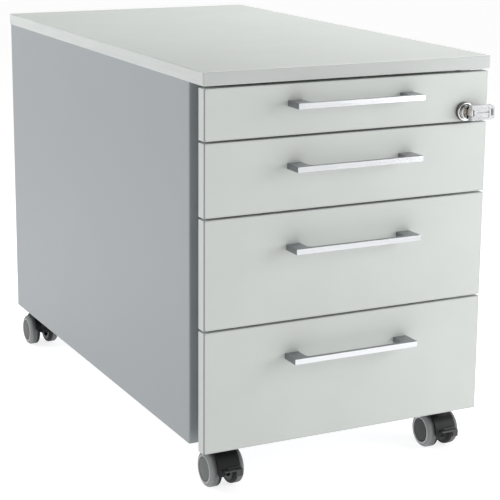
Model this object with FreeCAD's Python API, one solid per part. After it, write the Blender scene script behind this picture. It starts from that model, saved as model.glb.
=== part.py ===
"""Mobile drawer pedestal: folded steel carcass, board top, four board-fronted drawers, twin-wheel casters.

Frame: +Z up, drawer fronts face -Y, origin on the floor under the middle of the envelope. Millimetres.
Left and right are those of a person who stands in front of the drawers.
"""

import FreeCAD, Part
import math
import os

V = FreeCAD.Vector

# Overall envelope
HEIGHT = 570.0
BOARD_WIDTH = 433.0
BOARD_DEPTH = 780.0
BOARD_THICK = 18.0
HANDLE_LEAD = 28.0  # handle bars stand this far ahead of the top board's front edge
BOARD_BAND = 2.0
BOARD_ROUND = 1.5
BOARD_FRONT = HANDLE_LEAD / 2 - BOARD_DEPTH / 2
BOARD_BACK = BOARD_FRONT + BOARD_DEPTH
BOARD_UNDER = HEIGHT - BOARD_THICK

# Steel carcass
SHEET = 1.0
BEND = 1.5  # radius of a bend at the sheet's middle
CARCASS_HALF = 215.6
CARCASS_FRONT = BOARD_FRONT + 45.0
CARCASS_BACK = BOARD_BACK - 2.0
CARCASS_UNDER = 62.0
FLANGE = 17.6
FLANGE_LIP = 5.0
REAR_FLANGE = 15.0
BASE_FLANGE = 14.0
INNER_HALF = CARCASS_HALF - SHEET
MOUTH_HALF = CARCASS_HALF - FLANGE
RAIL_DEPTH = 35.0
RAIL_DROP = 13.0

# Slotted uprights that carry the slides
UPRIGHT_WIDTH = 30.0
UPRIGHT_SHEET = 1.2
UPRIGHT_FRONTS = (-300.0, 250.0)
UPRIGHT_LOW = 83.0
UPRIGHT_HIGH = 548.0
SLOT_PITCH = 32.0
SLOT_SIZE = (10.0, 3.0)

# Telescopic slides
SLIDE_SHEET = 1.2
SLIDE_BEND = 1.2
SLIDE_FRONT = -319.0
SLIDE_LENGTH = 620.0
OUTER_HALF = 18.0
MIDDLE_HALF = 13.6
INNER_RAIL_HALF = 9.0
RAIL_HOLE = (14.0, 5.0)
RAIL_HOLES_Y = (-285.0, -150.0, -20.0, 110.0, 245.0)
TRAY_HALF = 185.3

# Drawers, from the top one down
DRAWERS = (1, 2, 3, 4)
FRONT_HALF = 214.7
FRONT_THICK = 16.0
FRONT_FACE = BOARD_FRONT + 2.0
FRONT_REAR = FRONT_FACE + FRONT_THICK
FRONT_BAND = 1.0
FRONT_ROUND = 0.8
FRONT_HEIGHTS = {1: 67.5, 2: 97.2, 3: 147.4, 4: 167.0}
FRONT_GAP = 2.8
TOP_GAP = 3.5
TRAY_SPANS = {1: (505.5, 533.0), 2: (388.0, 468.0), 3: (238.0, 366.0), 4: (78.0, 216.0)}
SLIDE_HEIGHTS = {1: 515.0, 2: 428.0, 3: 290.0, 4: 130.0}
TRAY_BACK = 292.0
TRAY_RIM = 4.0
DIVIDER_SLOT = (2.4, 14.0)  # size along the tray and upwards
DIVIDER_RISE = 16.0  # from a slide's middle up to the slots
DIVIDER_PITCH = 40.0
DIVIDER_ROW = 15

# Bow handles
HANDLE_HEIGHTS = {1: 523.0, 2: 440.5, 3: 331.5, 4: 181.5}
HANDLE_LENGTH = 190.0
HANDLE_TALL = 8.0
HANDLE_BAR = 6.0
HANDLE_FOOT = 21.0
HANDLE_WEB = 6.0
HANDLE_ROUND = 0.6
SCREW_R = 2.0
SCREW_HEAD_R = 3.6
SCREW_HEAD = 2.4
SCREW_BITE = 8.0

# Lock in the top drawer's front
LOCK_X = 177.0
LOCK_Z = 494.8
ROSETTE_R = 13.2
ROSETTE_PROUD = 6.0
ROSETTE_GROOVE = (9.9, 10.9, 1.0)  # inner and outer radius and depth of the groove round the plug
BARREL_R = 9.2
BARREL_BACK = -342.0
PLUG_HEAD_R = 9.25
PLUG_HEAD = 3.9
PLUG_R = 6.5
FIT_GAP = 0.06  # radial clearance of a turning fit
CAM_R = 10.2
CAM_THICK = 3.0
CRANK = 8.0  # the driving pin's distance from the lock's axis
PIN_R = 2.0
PIN_BACK = -319.8

# Folding key
BLADE_THICK = 2.0
BLADE_TALL = 8.0
BLADE_BACK = -361.0
KEYWAY_GAP = 0.2
PIVOT_Y = -391.75
KEY_HALF = 10.5
KEY_THICK = 6.5
KEY_END = 36.3  # from the pivot to the head's far end
KEY_EYE_R = 2.9
KEY_PIVOT_R = 1.4
KEY_LUG = 4.3
KEY_SOLID = 3.2
KEY_PANEL = (8.5, 27.8, 7.8)  # recess in the head: its two ends from the pivot, and its half height
KEY_PANEL_DEEP = 0.8
KEY_FOLD_SLOT = (1.3, 2.4)  # width and depth of the slot into which the blade folds

# Lock bar behind the carcass's right front flange
BAR_FRONT = -325.5
BAR_THICK = 2.0
BAR_X = (201.2, 212.0)
BAR_LOW = 88.0
HOOK_TIP = 188.5
HOOK_TALL = 8.0
HOOK_DROP = 38.0  # from a slide's middle down to the bottom of the hook under it
ARM_TIP = 163.0
ARM_Z = (479.0, 492.4)
ARM_SLOT = (166.6, 179.4, 482.8, 489.1)
CATCH_FRONT = -322.0
CATCH_THICK = 1.5
CATCH_DROP = 29.0
CATCH_TALL = 8.0
GUIDE_HEIGHTS = (150.0, 320.0, 440.0)
GUIDE_TALL = 12.0
GUIDE_GAP = 0.3

# Twin-wheel casters
WHEEL_R = 25.0
WHEEL_X = (8.0, 25.7)
HUB_R = 17.0
DISC_R = 20.5
DISC_THICK = 1.6
TYRE_RIM = 0.9  # the rim round the cap stands this far proud of the tyre's side
TRAIL = 18.0
AXLE_R = 3.0
WEB_HALF = 7.3
HOOD_R = 28.6
HOOD_WALL = 2.3
HOOD_HALF = 16.75
HOOD_LEG_Z = 21.5
HOOD_LEG_ROUND = 4.5
HOOD_BACK_Z = 31.0
TURRET_R = 13.0
TURRET_TOP = 58.7
STEM_R = 5.0
STEM_TOP = 76.0
NUT_R = 9.2
NUT_TALL = 6.0
PLATE_THICK = 3.0
PLATE_HALF = 24.0
PLATE_LONG = 60.0
CASTERS = {
    "front_left": (-172.0, -320.0, False),
    "front_right": (172.0, -320.0, False),
    "rear_left": (-188.0, 346.0, True),
    "rear_right": (188.0, 346.0, True),
}  # swivel axis x and y, and whether the caster trails to the rear

# Brake levers on the front casters
LEVER_R = 1.9
LEVER_PIN_R = 1.0
LEVER_Z = 31.0
LEVER_X = (-2.6, 16.5)
PEDAL_LEFT = -9.5
PEDAL_TIP = -53.0
PEDAL_THICK = 2.5
LIP_THICK = 2.2
LIP_WIDTH = 8.5
LIP_DROP = 8.0

# Blind rivets that hold the back panel to the sides' rear flanges
RIVET_X = 207.6
RIVET_HEIGHTS = (92.0, 232.0, 372.0, 518.0)
RIVET_R = 1.6
RIVET_HEAD_R = 3.3
RIVET_HEAD = 1.0

# Screws between rails and top board
TOP_SCREW_X = 150.0
TOP_SCREW_R = 2.1
TOP_SCREW_TIP = 564.0


# ---------------------------------------------------------------- helpers


def box(x0, x1, y0, y1, z0, z1):
    """Block between two corners."""
    return Part.makeBox(x1 - x0, y1 - y0, z1 - z0, V(x0, y0, z0))


def rod(start, axis, radius, length):
    """Cylinder from a point along an axis."""
    return Part.makeCylinder(radius, length, start, axis)


def rod_x(y, z, radius, x0, x1):
    """Cylinder along X."""
    return rod(V(x0, y, z), V(1, 0, 0), radius, x1 - x0)


def rod_y(x, z, radius, y0, y1):
    """Cylinder along Y."""
    return rod(V(x, y0, z), V(0, 1, 0), radius, y1 - y0)


def rod_z(x, y, radius, z0, z1):
    """Cylinder along Z."""
    return rod(V(x, y, z0), V(0, 0, 1), radius, z1 - z0)


def unit(vector):
    """Copy of a vector with length 1."""
    return V(vector) * (1.0 / vector.Length)


def chain(pieces):
    """Edges through pieces of one point, or of three points where there is an arc, closed at the end."""
    edges = []
    for piece, following in zip(pieces, pieces[1:] + pieces[:1]):
        if len(piece) == 3:
            edges.append(Part.Arc(*piece).toShape())
        if (following[0] - piece[-1]).Length > 1e-6:
            edges.append(Part.LineSegment(piece[-1], following[0]).toShape())
    return Part.Face(Part.Wire(edges))


def sheet_side(path, offset, bend):
    """One face of a folded sheet, as pieces for chain()."""
    runs = [unit(b - a) for a, b in zip(path, path[1:])]
    normals = [V(-run.y, run.x, 0) for run in runs]
    pieces = [[path[0] + normals[0] * offset]]
    for corner, before, after, n1, n2 in zip(path[1:-1], runs, runs[1:], normals, normals[1:]):
        turn = math.atan2(before.cross(after).z, before.dot(after))
        side = math.copysign(1.0, turn)
        reach = bend * math.tan(abs(turn) / 2)
        centre = corner - before * reach + n1 * (side * bend)
        radius = bend - side * offset
        outwards = unit(corner - centre)
        pieces.append(
            [
                centre - n1 * (side * radius),
                centre + outwards * radius,
                centre - n2 * (side * radius),
            ]
        )
    pieces.append([path[-1] + normals[-1] * offset])
    return pieces


def sheet(points, thick, bend):
    """Face of a folded sheet's section, along the path of its middle."""
    path = [V(u, v, 0) for u, v in points]
    left = sheet_side(path, thick / 2, bend)
    right = sheet_side(path, -thick / 2, bend)
    return chain(left + [piece[::-1] for piece in right[::-1]])


def outline(corners):
    """Face of a closed outline whose corners are (u, v, radius)."""
    pieces = []
    points = [V(u, v, 0) for u, v, _ in corners]
    for index, (_, _, radius) in enumerate(corners):
        corner = points[index]
        before = unit(corner - points[index - 1])
        after = unit(points[(index + 1) % len(points)] - corner)
        if radius == 0:
            pieces.append([corner])
            continue
        half = math.acos(max(-1.0, min(1.0, before.dot(after)))) / 2
        reach = radius * math.tan(half)
        inwards = unit(after - before)
        centre = corner + inwards * (radius / math.cos(half))
        pieces.append([corner - before * reach, centre - inwards * radius, corner + after * reach])
    return chain(pieces)


def along_z(face, z0, z1):
    """Extrudes a face drawn as (x, y)."""
    face.translate(V(0, 0, z0))
    return face.extrude(V(0, 0, z1 - z0))


def along_y(face, y0, y1):
    """Extrudes a face drawn as (x, z)."""
    face.rotate(V(0, 0, 0), V(1, 0, 0), 90)
    face.translate(V(0, y0, 0))
    return face.extrude(V(0, y1 - y0, 0))


def along_x(face, x0, x1):
    """Extrudes a face drawn as (y, z)."""
    face.rotate(V(0, 0, 0), V(1, 0, 0), 90)
    face.rotate(V(0, 0, 0), V(0, 0, 1), 90)
    face.translate(V(x0, 0, 0))
    return face.extrude(V(x1 - x0, 0, 0))


def moved(shape, x=0.0, y=0.0, z=0.0):
    """Copy of a shape, shifted."""
    copy = shape.copy()
    copy.translate(V(x, y, z))
    return copy


def mirrored(shape):
    """Copy of a shape on the other side of the plane x = 0."""
    return shape.mirror(V(0, 0, 0), V(1, 0, 0))


def both(shape):
    """A shape and its mirror image."""
    return [shape, mirrored(shape)]


def joined(shapes):
    """One solid from shapes that meet."""
    return shapes[0].fuse(list(shapes[1:])).removeSplitter()


def rim_edges(shape, z_values):
    """Edges that lie wholly at one of some heights."""
    found = []
    for edge in shape.Edges:
        bounds = edge.BoundBox
        level = any(abs(bounds.ZMin - z) < 1e-4 and abs(bounds.ZMax - z) < 1e-4 for z in z_values)
        if level:
            found.append(edge)
    return found


def export(name, shapes):
    """Writes the solids of one node to its STEP file."""
    solids = []
    for shape in shapes:
        solids.extend(shape.Solids)
    for solid in solids:
        assert solid.isValid() and solid.Volume > 0, name
    node = solids[0] if len(solids) == 1 else Part.makeCompound(solids)
    node.exportStep(os.path.join("parts", name + ".step"))


# ---------------------------------------------------------------- boards


def banded_board(x0, x1, y0, y1, z0, z1, band, rounding, banded):
    """A board's core and its four edge bands; banded names the two axes across which bands are glued."""
    full = box(x0, x1, y0, y1, z0, z1)
    full = full.makeFillet(rounding, full.Edges)
    inset = [band if axis in banded else -1.0 for axis in "xyz"]
    low = (x0 + inset[0], y0 + inset[1], z0 + inset[2])
    high = (x1 - inset[0], y1 - inset[1], z1 - inset[2])
    middle = box(low[0], high[0], low[1], high[1], low[2], high[2])
    if banded == "xy":
        core = box(low[0], high[0], low[1], high[1], z0, z1)
    else:
        core = box(low[0], high[0], y0, y1, low[2], high[2])
    ring = full.cut(middle)
    between = box(low[0], high[0], y0 - 1, y1 + 1, z0 - 1, z1 + 1)
    bands = ring.cut(between).Solids + ring.common(between).Solids
    return core, bands


def top_board():
    """Top board with pilot holes for its screws, and its edge bands."""
    core, bands = banded_board(
        -BOARD_WIDTH / 2,
        BOARD_WIDTH / 2,
        BOARD_FRONT,
        BOARD_BACK,
        BOARD_UNDER,
        HEIGHT,
        BOARD_BAND,
        BOARD_ROUND,
        "xy",
    )
    for x, y in top_screw_places():
        core = core.cut(rod_z(x, y, TOP_SCREW_R, BOARD_UNDER - 1, TOP_SCREW_TIP))
    export("top_board", [core])
    export("top_edge_bands", bands)


def front_span(number):
    """Bottom and top of a drawer's front."""
    top = BOARD_UNDER - TOP_GAP
    for above in DRAWERS[: number - 1]:
        top -= FRONT_HEIGHTS[above] + FRONT_GAP
    return top - FRONT_HEIGHTS[number], top


def foot_places():
    """X of the two handle screws."""
    reach = HANDLE_LENGTH / 2 - HANDLE_FOOT / 2
    return (-reach, reach)


def drawer_front(number):
    """Board front with its edge bands, bored for the handle screws and, on the top one, for the lock."""
    low, high = front_span(number)
    core, bands = banded_board(
        -FRONT_HALF, FRONT_HALF, FRONT_FACE, FRONT_REAR, low, high, FRONT_BAND, FRONT_ROUND, "xz"
    )
    for x in foot_places():
        core = core.cut(rod_y(x, HANDLE_HEIGHTS[number], SCREW_R, FRONT_FACE - 1, FRONT_REAR + 1))
    if number == 1:
        core = core.cut(rod_y(LOCK_X, LOCK_Z, BARREL_R, FRONT_FACE - 1, FRONT_REAR + 1))
    export(f"drawer_{number}_front", [core] + bands)


# ---------------------------------------------------------------- carcass


def side_panel():
    """Right side: one sheet folded round the front and rear edges, with a top flange."""
    middle = CARCASS_HALF - SHEET / 2
    front = CARCASS_FRONT + SHEET / 2
    back = CARCASS_BACK - SHEET / 2
    lip_x = MOUTH_HALF + SHEET / 2
    section = sheet(
        [
            (lip_x, CARCASS_FRONT + FLANGE_LIP),
            (lip_x, front),
            (middle, front),
            (middle, back),
            (CARCASS_HALF - REAR_FLANGE, back),
        ],
        SHEET,
        BEND,
    )
    wall = along_z(section, CARCASS_UNDER, BOARD_UNDER)
    for z in RIVET_HEIGHTS:
        wall = wall.cut(rod_y(RIVET_X, z, RIVET_R, CARCASS_BACK - 3, CARCASS_BACK + 1))
    front_rail_back, rear_rail_front = rail_inner_edges()
    flange = box(
        INNER_HALF - REAR_FLANGE,
        INNER_HALF,
        front_rail_back + 2,
        rear_rail_front - 2,
        BOARD_UNDER - SHEET,
        BOARD_UNDER,
    )
    return joined([wall, flange])


def rail_inner_edges():
    """Y of the inner edges of the front and rear top rails."""
    return CARCASS_FRONT + 6.0 + RAIL_DEPTH, CARCASS_BACK - 7.0 - RAIL_DEPTH


def top_rails():
    """Folded cross rails that tie the sides together and take the top board's screws."""
    front_edge, rear_edge = rail_inner_edges()
    rails = []
    for edge, outward in ((front_edge, -1.0), (rear_edge, 1.0)):
        outer = edge + outward * (RAIL_DEPTH - SHEET / 2)
        section = sheet(
            [
                (outer, BOARD_UNDER - RAIL_DROP),
                (outer, BOARD_UNDER - SHEET / 2),
                (edge, BOARD_UNDER - SHEET / 2),
            ],
            SHEET,
            BEND,
        )
        rail = along_x(section, -INNER_HALF, INNER_HALF)
        for x, y in top_screw_places():
            rail = rail.cut(rod_z(x, y, TOP_SCREW_R, BOARD_UNDER - 3, BOARD_UNDER + 1))
        rails.append(rail)
    export("top_rails", rails)


def top_screw_places():
    """X and Y of the four screws that hold the top board."""
    front_edge, rear_edge = rail_inner_edges()
    ys = (front_edge - RAIL_DEPTH / 2, rear_edge + RAIL_DEPTH / 2)
    return [(x, y) for x in (-TOP_SCREW_X, TOP_SCREW_X) for y in ys]


def carcass_screws():
    """Pan-head cross screws, driven up through the rails into the top board."""
    screws = []
    for x, y in top_screw_places():
        head = rod_z(x, y, 2 * TOP_SCREW_R, BOARD_UNDER - SHEET - 2.6, BOARD_UNDER - SHEET)
        head = head.makeFillet(1.2, rim_edges(head, [BOARD_UNDER - SHEET - 2.6]))
        recess = box(x - 0.5, x + 0.5, y - 2.2, y + 2.2, BOARD_UNDER - 5, BOARD_UNDER - SHEET - 1.4)
        cross = box(x - 2.2, x + 2.2, y - 0.5, y + 0.5, BOARD_UNDER - 5, BOARD_UNDER - SHEET - 1.4)
        shank = rod_z(x, y, TOP_SCREW_R, BOARD_UNDER - SHEET, TOP_SCREW_TIP)
        screws.append(joined([head, shank]).cut(recess).cut(cross))
    for z in RIVET_HEIGHTS:
        screws += both(rivet(z))
    export("carcass_screws", screws)


def rivet(z):
    """Blind rivet through the right rear flange and the back panel, with its hollow mandrel hole."""
    inside = CARCASS_BACK - 2 * SHEET
    head = rod_y(RIVET_X, z, RIVET_HEAD_R, CARCASS_BACK, CARCASS_BACK + RIVET_HEAD)
    rim = [edge for edge in head.Edges if edge.BoundBox.YMin > CARCASS_BACK + RIVET_HEAD - 1e-4]
    head = head.makeFillet(0.7, rim)
    shank = rod_y(RIVET_X, z, RIVET_R, inside, CARCASS_BACK)
    bulge = rod_y(RIVET_X, z, RIVET_R + 0.9, inside - 1.8, inside)
    return joined([head, shank, bulge]).cut(rod_y(RIVET_X, z, 0.9, inside, CARCASS_BACK + 2))


def back_panel():
    """Flat sheet riveted inside the rear flanges."""
    y1 = CARCASS_BACK - SHEET
    half = INNER_HALF - BEND
    panel = box(-half, half, y1 - SHEET, y1, CARCASS_UNDER, BOARD_UNDER)
    for z in RIVET_HEIGHTS:
        for x in (-RIVET_X, RIVET_X):
            panel = panel.cut(rod_y(x, z, RIVET_R, y1 - 3, y1 + 1))
    export("back_panel", [panel])


def base_panel():
    """Floor of the carcass, with flanges turned up along the sides."""
    wall = INNER_HALF - SHEET / 2
    floor = CARCASS_UNDER + SHEET / 2
    rim = CARCASS_UNDER + BASE_FLANGE
    section = sheet([(-wall, rim), (-wall, floor), (wall, floor), (wall, rim)], SHEET, BEND)
    panel = along_y(section, CARCASS_FRONT + FLANGE_LIP, CARCASS_BACK - 2 * SHEET)
    for x, y, _ in CASTERS.values():
        panel = panel.cut(rod_z(x, y, STEM_R, CARCASS_UNDER - 1, CARCASS_UNDER + 5))
    export("base_panel", [panel])


def upright(front):
    """Slotted channel welded to the right side; the slides hang on its slots."""
    web = MOUTH_HALF + UPRIGHT_SHEET / 2
    back = front + UPRIGHT_WIDTH
    inset = UPRIGHT_SHEET / 2
    section = sheet(
        [
            (INNER_HALF, front + inset),
            (web, front + inset),
            (web, back - inset),
            (INNER_HALF, back - inset),
        ],
        UPRIGHT_SHEET,
        BEND,
    )
    channel = along_z(section, UPRIGHT_LOW, UPRIGHT_HIGH)
    middle = (front + back) / 2
    width, tall = SLOT_SIZE
    rows = int((UPRIGHT_HIGH - UPRIGHT_LOW) / SLOT_PITCH)
    slots = []
    for row in range(rows):
        z = UPRIGHT_LOW + SLOT_PITCH * (row + 0.5)
        slots.append(box(web - 2, web + 2, middle - width / 2, middle + width / 2, z, z + tall))
    return channel.cut(Part.makeCompound(slots))


# ---------------------------------------------------------------- slides


def channel_rail(web_x, tip_x, z, half):
    """C-section rail on the right: web at web_x, lips that reach to tip_x, half as tall as given."""
    lip = half - SLIDE_SHEET / 2
    web = web_x + math.copysign(SLIDE_SHEET / 2, tip_x - web_x)
    corners = [(tip_x, z + lip), (web, z + lip), (web, z - lip), (tip_x, z - lip)]
    section = sheet(corners, SLIDE_SHEET, SLIDE_BEND)
    return along_y(section, SLIDE_FRONT, SLIDE_FRONT + SLIDE_LENGTH)


def rail_holes(z):
    """Long holes through a rail's web, as one cutter for the right side."""
    long, tall = (size / 2 for size in RAIL_HOLE)
    end = tall - 0.1
    low, high = z - tall, z + tall
    cutters = []
    for y in RAIL_HOLES_Y:
        front, back = y - long, y + long
        hole = outline([(front, low, end), (back, low, end), (back, high, end), (front, high, end)])
        cutters.append(along_x(hole, TRAY_HALF, MOUTH_HALF + 1))
    return Part.makeCompound(cutters)


def slides():
    """Outer, middle and inner rails of every drawer, nested in each other."""
    outer = []
    for number in DRAWERS:
        z = SLIDE_HEIGHTS[number]
        outer += both(channel_rail(MOUTH_HALF, MOUTH_HALF - 10, z, OUTER_HALF))
        middle = channel_rail(MOUTH_HALF - 2.2, MOUTH_HALF - 10.8, z, MIDDLE_HALF).cut(rail_holes(z))
        export(f"drawer_{number}_middle_rails", both(middle))
        inner = channel_rail(TRAY_HALF, TRAY_HALF + 8, z, INNER_RAIL_HALF)
        export(f"drawer_{number}_inner_rails", both(inner))
    export("outer_rails", outer)


# ---------------------------------------------------------------- drawers


def tray(number):
    """Welded sheet tray with a rim folded inwards, screw holes and the catch that the lock bar blocks."""
    low, high = TRAY_SPANS[number]
    shell = box(-TRAY_HALF, TRAY_HALF, FRONT_REAR, TRAY_BACK, low, high)
    soft = [edge for edge in shell.Edges if edge.BoundBox.ZMax < high - 1 or edge.BoundBox.ZLength > 5]
    shell = shell.makeFillet(2 * SHEET, soft)
    half = TRAY_HALF - SHEET
    inner = box(-half, half, FRONT_REAR + SHEET, TRAY_BACK - SHEET, low + SHEET, high)
    soft = [edge for edge in inner.Edges if edge.BoundBox.ZMax < high - 1 or edge.BoundBox.ZLength > 5]
    inner = inner.makeFillet(SHEET, soft)
    rim_half = TRAY_HALF - TRAY_RIM
    mouth = box(-rim_half, rim_half, FRONT_REAR + TRAY_RIM, TRAY_BACK - TRAY_RIM, high - SHEET - 1, high + 1)
    inner = inner.common(box(-500, 500, -500, 500, 0, high - SHEET))
    body = shell.cut(inner).cut(mouth)
    for x in foot_places():
        body = body.cut(rod_y(x, HANDLE_HEIGHTS[number], SCREW_R, FRONT_REAR - 1, FRONT_REAR + 3))
    if number > 1:
        body = body.cut(divider_slots(number))
    export(f"drawer_{number}_tray", [joined([body, catch(number)])])


def divider_slots(number):
    """Rows of upright slots through both side walls, for cross dividers."""
    long, tall = DIVIDER_SLOT
    low = SLIDE_HEIGHTS[number] + DIVIDER_RISE
    middle = (FRONT_REAR + TRAY_BACK) / 2
    cutters = []
    for index in range(DIVIDER_ROW):
        y = middle + (index - (DIVIDER_ROW - 1) / 2) * DIVIDER_PITCH
        cutters.append(box(-TRAY_HALF - 1, TRAY_HALF + 1, y - long / 2, y + long / 2, low, low + tall))
    return Part.makeCompound(cutters)


def catch(number):
    """Tab on the tray that the lifted lock bar stands in front of."""
    back = CATCH_FRONT + CATCH_THICK
    if number == 1:
        return box(180.5, 184.5, CATCH_FRONT, back, ARM_Z[1] + 1, TRAY_SPANS[1][0] + SHEET / 2)
    bottom = SLIDE_HEIGHTS[number] - CATCH_DROP
    return box(TRAY_HALF - SHEET / 2, 194.5, CATCH_FRONT, back, bottom, bottom + CATCH_TALL)


def handle(number):
    """Bow handle with its two screws."""
    z = HANDLE_HEIGHTS[number]
    half = HANDLE_LENGTH / 2
    foot = half - HANDLE_FOOT
    tip = BOARD_FRONT - HANDLE_LEAD
    bow = outline(
        [
            (-half, FRONT_FACE, 0),
            (-half, tip, HANDLE_ROUND),
            (half, tip, HANDLE_ROUND),
            (half, FRONT_FACE, 0),
            (foot, FRONT_FACE, 0),
            (foot, tip + HANDLE_BAR, HANDLE_WEB),
            (-foot, tip + HANDLE_BAR, HANDLE_WEB),
            (-foot, FRONT_FACE, 0),
        ]
    )
    low, high = z - HANDLE_TALL / 2, z + HANDLE_TALL / 2
    bow = along_z(bow, low, high)
    rims = [edge for edge in rim_edges(bow, [low, high]) if edge.BoundBox.YMin < FRONT_FACE - 0.1]
    bow = bow.makeFillet(HANDLE_ROUND * 0.9, rims)
    pieces = []
    for x in foot_places():
        bow = bow.cut(rod_y(x, z, SCREW_R, FRONT_FACE - SCREW_BITE, FRONT_FACE + 1))
        seat = FRONT_REAR + SHEET
        shank = rod_y(x, z, SCREW_R, FRONT_FACE - SCREW_BITE, seat)
        head = rod_y(x, z, SCREW_HEAD_R, seat, seat + SCREW_HEAD)
        pieces.append(joined([shank, head]))
    export(f"drawer_{number}_handle", [bow] + pieces)


# ---------------------------------------------------------------- lock and key


def lock_cylinder():
    """Fixed barrel with its rosette and retaining ring."""
    face = FRONT_FACE - ROSETTE_PROUD
    rosette = rod_y(LOCK_X, LOCK_Z, ROSETTE_R, face, FRONT_FACE)
    edge = [e for e in rosette.Edges if e.BoundBox.YMax < face + 1e-4]
    rosette = rosette.makeFillet(2.0, edge)
    inner, outer, deep = ROSETTE_GROOVE
    groove = rod_y(LOCK_X, LOCK_Z, outer, face - 1, face + deep)
    rosette = rosette.cut(groove.cut(rod_y(LOCK_X, LOCK_Z, inner, face - 2, face + deep + 1)))
    barrel = rod_y(LOCK_X, LOCK_Z, BARREL_R, FRONT_FACE, BARREL_BACK)
    ring = rod_y(LOCK_X, LOCK_Z, BARREL_R + 1.3, FRONT_REAR, FRONT_REAR + 4)
    bore = rod_y(LOCK_X, LOCK_Z, PLUG_R + FIT_GAP, face - 1, BARREL_BACK + 1)
    export("lock_cylinder", [joined([rosette, barrel, ring]).cut(bore)])


def lock_plug():
    """Turning plug: dished head with the keyway, shaft, cam disc and the driving pin."""
    face = FRONT_FACE - ROSETTE_PROUD
    head_back = face - 0.1
    head_front = head_back - PLUG_HEAD
    head = rod_y(LOCK_X, LOCK_Z, PLUG_HEAD_R, head_front, head_back)
    edge = [e for e in head.Edges if e.BoundBox.YMax < head_front + 1e-4]
    head = head.makeFillet(1.2, edge)
    head = head.cut(rod_y(LOCK_X, LOCK_Z, PLUG_HEAD_R - 2.6, head_front - 1, head_front + 0.8))
    cam_front = BARREL_BACK + 0.3
    shaft = rod_y(LOCK_X, LOCK_Z, PLUG_R, head_back - 0.5, cam_front + 0.5)
    cam = rod_y(LOCK_X, LOCK_Z, CAM_R, cam_front, cam_front + CAM_THICK)
    pin = rod_y(LOCK_X, LOCK_Z - CRANK, PIN_R, cam_front, PIN_BACK)
    half_x = BLADE_THICK / 2 + KEYWAY_GAP
    half_z = BLADE_TALL / 2 + KEYWAY_GAP
    keyway = box(
        LOCK_X - half_x, LOCK_X + half_x, head_front - 1, BLADE_BACK + 1, LOCK_Z - half_z, LOCK_Z + half_z
    )
    export("lock_plug", [joined([head, shaft, cam, pin]).cut(keyway)])


def key_blade():
    """Flat blade with cuts, and the eye and pin on which the head folds."""
    half = BLADE_THICK / 2
    low = LOCK_Z - BLADE_TALL / 2
    high = LOCK_Z + BLADE_TALL / 2
    blade = box(LOCK_X - half, LOCK_X + half, PIVOT_Y, BLADE_BACK, low, high)
    cuts = []
    for index, depth in enumerate((1.2, 2.0, 0.8, 1.6)):
        y = BLADE_BACK - 4.0 - 4.2 * index
        root = high - depth
        notch = [(y - 1.8, high + 1, 0), (y - 0.5, root, 0), (y + 0.5, root, 0), (y + 1.8, high + 1, 0)]
        cuts.append(along_x(outline(notch), LOCK_X - 2, LOCK_X + 2))
    groove = box(LOCK_X + 0.45, LOCK_X + 2, BLADE_BACK - 20, BLADE_BACK + 1, LOCK_Z - 1.6, LOCK_Z - 0.6)
    blade = blade.cut(Part.makeCompound(cuts)).cut(groove)
    eye = rod_z(LOCK_X, PIVOT_Y, KEY_EYE_R, low, high)
    pin = rod_z(LOCK_X, PIVOT_Y, KEY_PIVOT_R, LOCK_Z - KEY_HALF + 0.8, LOCK_Z + KEY_HALF - 0.8)
    export("key_blade", [joined([blade, eye, pin])])


def key_head():
    """Moulded head folded to the right: two lugs round the eye, a thumb recess and a ring slot."""
    left = LOCK_X - KEY_THICK / 2
    right = LOCK_X + KEY_END
    low = LOCK_Z - KEY_HALF
    high = LOCK_Z + KEY_HALF
    front = PIVOT_Y - KEY_THICK / 2
    back = PIVOT_Y + KEY_THICK / 2
    plan = outline([(left, low, 1.5), (right, low, 6.0), (right, high, 6.0), (left, high, 1.5)])
    body = along_y(plan, front, back)
    nose = box(left - 1, LOCK_X, front - 1, back + 1, low - 1, high + 1)
    nose = nose.cut(rod_z(LOCK_X, PIVOT_Y, KEY_THICK / 2, low - 2, high + 2))
    body = body.cut(nose)
    body = body.cut(
        box(left - 1, LOCK_X + KEY_SOLID, front - 1, back + 1, LOCK_Z - KEY_LUG, LOCK_Z + KEY_LUG)
    )
    body = body.cut(rod_z(LOCK_X, PIVOT_Y, KEY_PIVOT_R + FIT_GAP, low + 0.7, high - 0.7))
    slot = outline(
        [
            (right - 5.6, LOCK_Z - 5.0, 1.7),
            (right - 2.0, LOCK_Z - 5.0, 1.7),
            (right - 2.0, LOCK_Z + 5.0, 1.7),
            (right - 5.6, LOCK_Z + 5.0, 1.7),
        ]
    )
    body = body.cut(along_y(slot, front - 1, back + 1))
    near, far, half = KEY_PANEL
    panel = outline(
        [
            (LOCK_X + near, LOCK_Z - half, 1.5),
            (LOCK_X + far, LOCK_Z - half, 3.0),
            (LOCK_X + far, LOCK_Z + half, 3.0),
            (LOCK_X + near, LOCK_Z + half, 1.5),
        ]
    )
    body = body.cut(along_y(panel, front - 1, front + KEY_PANEL_DEEP))
    width, deep = KEY_FOLD_SLOT
    slot = box(LOCK_X + near, LOCK_X + far, front - 1, front + deep, LOCK_Z - width / 2, LOCK_Z + width / 2)
    export("key_head", [body.cut(slot)])


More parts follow.
